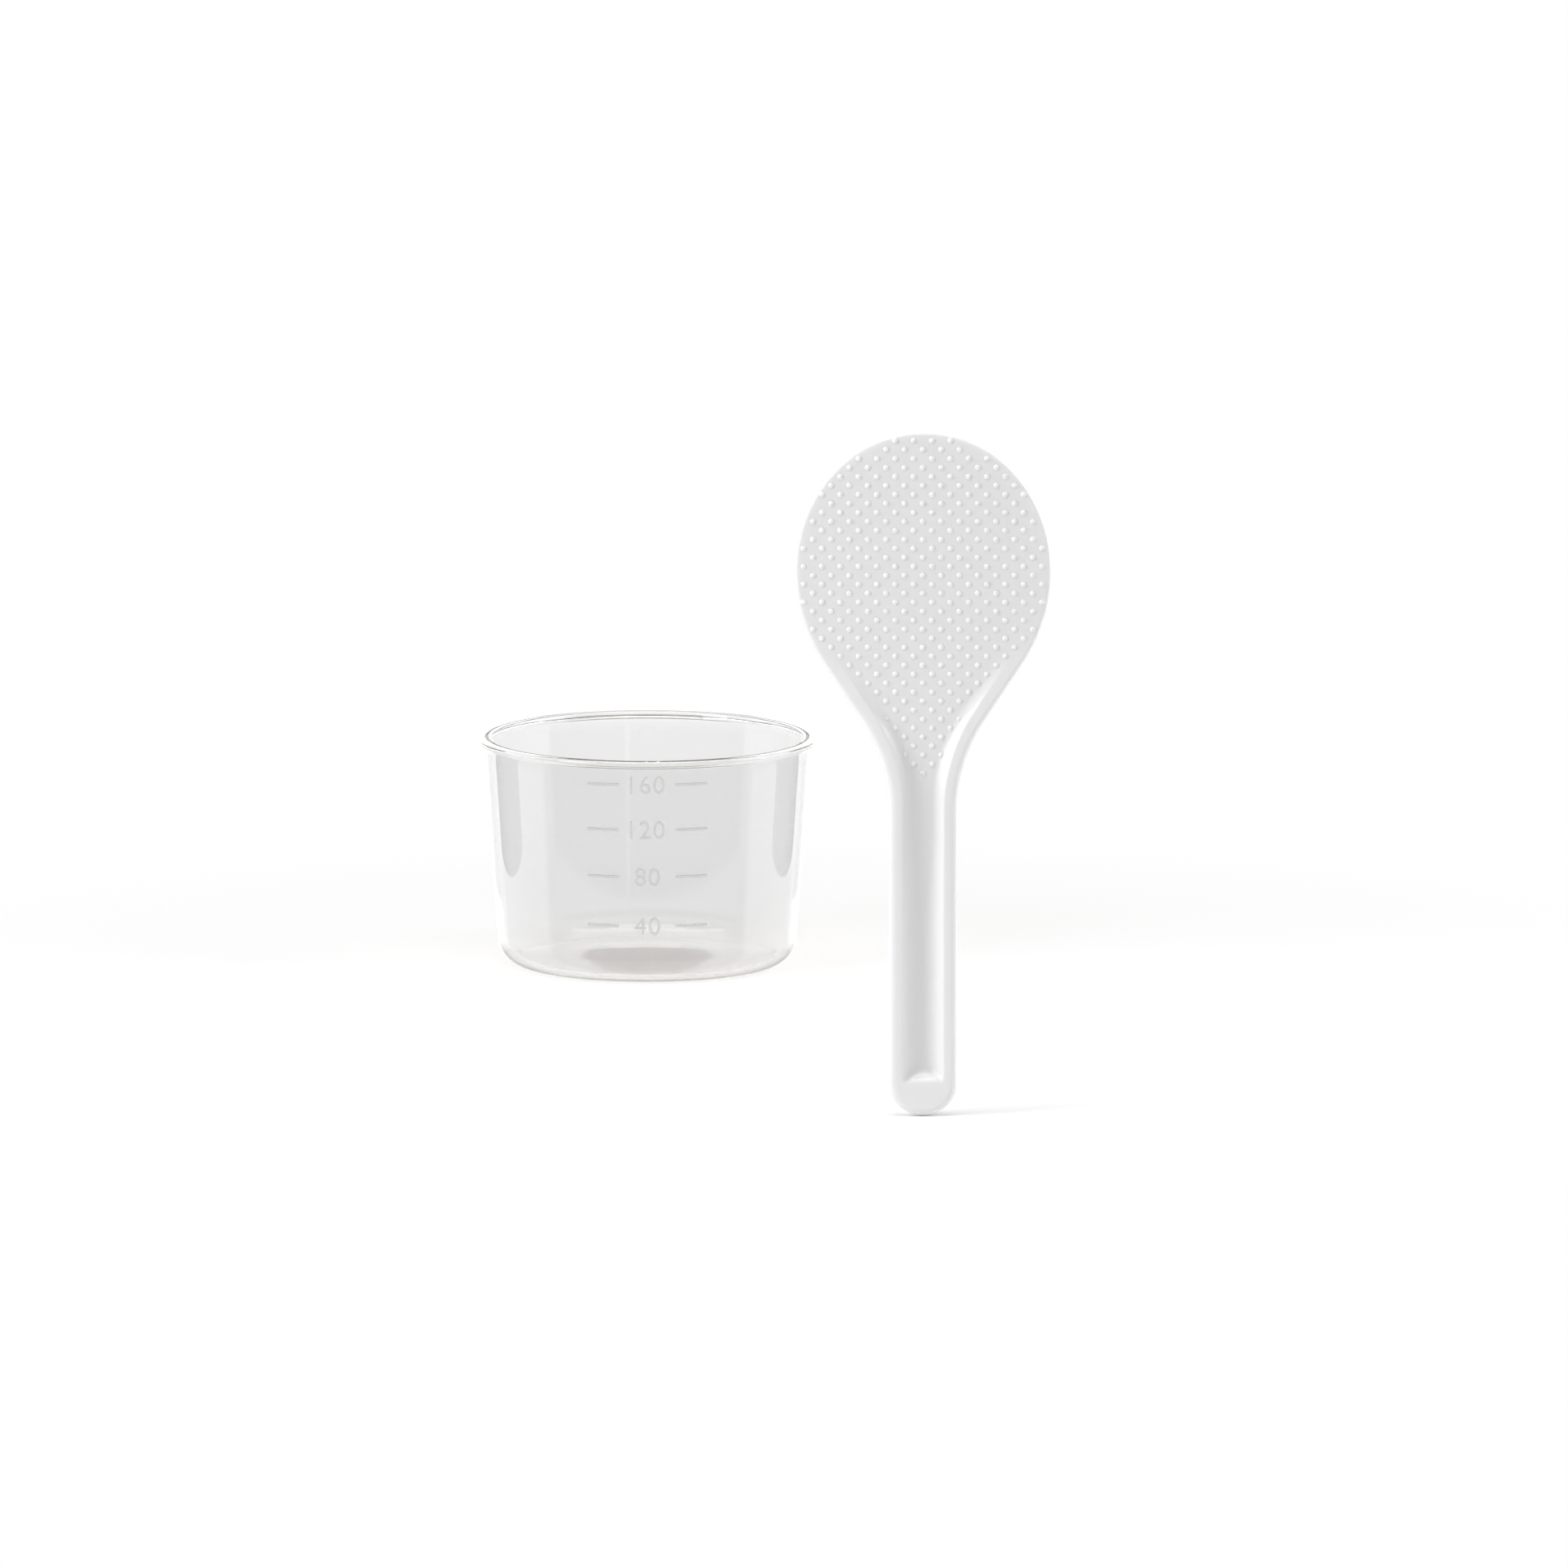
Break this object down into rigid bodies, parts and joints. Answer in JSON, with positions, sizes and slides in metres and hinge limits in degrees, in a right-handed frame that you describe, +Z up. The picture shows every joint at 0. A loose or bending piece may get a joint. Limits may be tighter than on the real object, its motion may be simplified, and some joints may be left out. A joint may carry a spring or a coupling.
{
  "type": "rice measuring cup and rice paddle",
  "caption": "Clear tapered rice measuring cup with a flared lip and a raised millilitre scale, and a white rice paddle with a round dotted blade and a troughed handle.",
  "frame": {"origin": "on the table, in the middle of the cup's flat base", "axes": "+Z up; the cup's scale and the paddle's dotted face look along -Y, towards the camera; +X is to the camera's right, where the paddle stands"},
  "size_m": [0.13, 0.2642, 0.1574],
  "materials": {
    "clear_plastic": "clear moulded polypropylene, glossy and very slightly clouded",
    "white_plastic": "white moulded polypropylene, satin gloss"
  },
  "bodies": {
    "cup": {"measuring_cup": "clear_plastic"},
    "paddle": {"rice_paddle": "white_plastic"}
  },
  "joints": [
    {"name": "paddle_lift", "type": "slide", "parent": "cup", "child": "paddle", "axis": [0, 0, 1], "range_m": [0, 0.08]}
  ]
}
